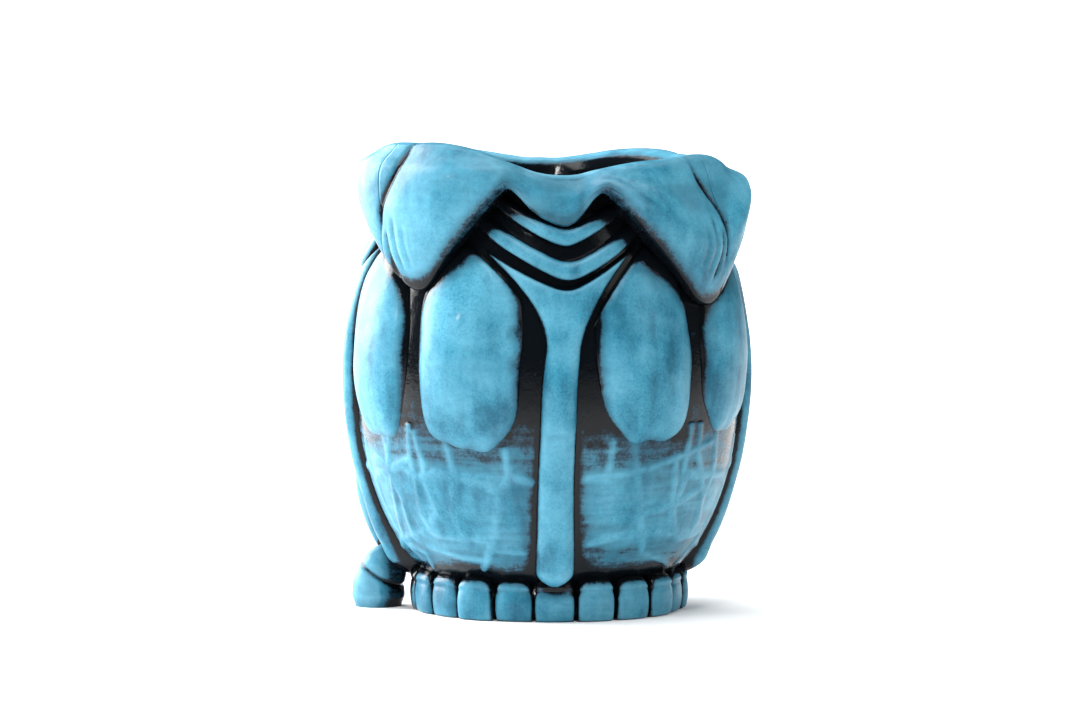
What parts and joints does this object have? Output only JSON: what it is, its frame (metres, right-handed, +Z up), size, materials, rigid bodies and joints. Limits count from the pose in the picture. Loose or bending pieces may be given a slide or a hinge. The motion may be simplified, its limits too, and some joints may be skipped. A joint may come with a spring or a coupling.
{
  "type": "tiki mug",
  "caption": "Squat glazed ceramic tiki mug with four drooping brow lobes, long nose ribs, oval eye pads and a toothed foot.",
  "frame": {"origin": "centre of the base, on the resting plane", "axes": "+Z up through the mouth, -Y out of the front nose, +X to the front face's right in a view from the front"},
  "size_m": [0.1052, 0.1054, 0.1201],
  "materials": {
    "teal_glaze": "satin"
  },
  "bodies": {
    "root": {"vessel": "teal_glaze", "brow_front": "teal_glaze", "brow_right": "teal_glaze", "brow_back": "teal_glaze", "brow_left": "teal_glaze", "fold_upper_front": "teal_glaze", "fold_upper_right": "teal_glaze", "fold_upper_back": "teal_glaze", "fold_upper_left": "teal_glaze", "fold_lower_front": "teal_glaze", "fold_lower_right": "teal_glaze", "fold_lower_back": "teal_glaze", "fold_lower_left": "teal_glaze", "nose_front": "teal_glaze", "nose_right": "teal_glaze", "nose_back": "teal_glaze", "nose_left": "teal_glaze", "eye_pad_front_a": "teal_glaze", "eye_pad_front_b": "teal_glaze", "eye_pad_right_a": "teal_glaze", "eye_pad_right_b": "teal_glaze", "eye_pad_back_a": "teal_glaze", "eye_pad_back_b": "teal_glaze", "eye_pad_left_a": "teal_glaze", "eye_pad_left_b": "teal_glaze", "tooth_01": "teal_glaze", "tooth_02": "teal_glaze", "tooth_03": "teal_glaze", "tooth_04": "teal_glaze", "tooth_05": "teal_glaze", "tooth_06": "teal_glaze", "tooth_07": "teal_glaze", "tooth_08": "teal_glaze", "tooth_09": "teal_glaze", "tooth_10": "teal_glaze", "tooth_11": "teal_glaze", "tooth_12": "teal_glaze", "tooth_13": "teal_glaze", "tooth_14": "teal_glaze", "tooth_15": "teal_glaze", "tooth_16": "teal_glaze", "tooth_17": "teal_glaze", "tooth_18": "teal_glaze", "tooth_19": "teal_glaze", "tooth_20": "teal_glaze", "limb_left": "teal_glaze", "foot_knob": "teal_glaze"}
  },
  "joints": []
}
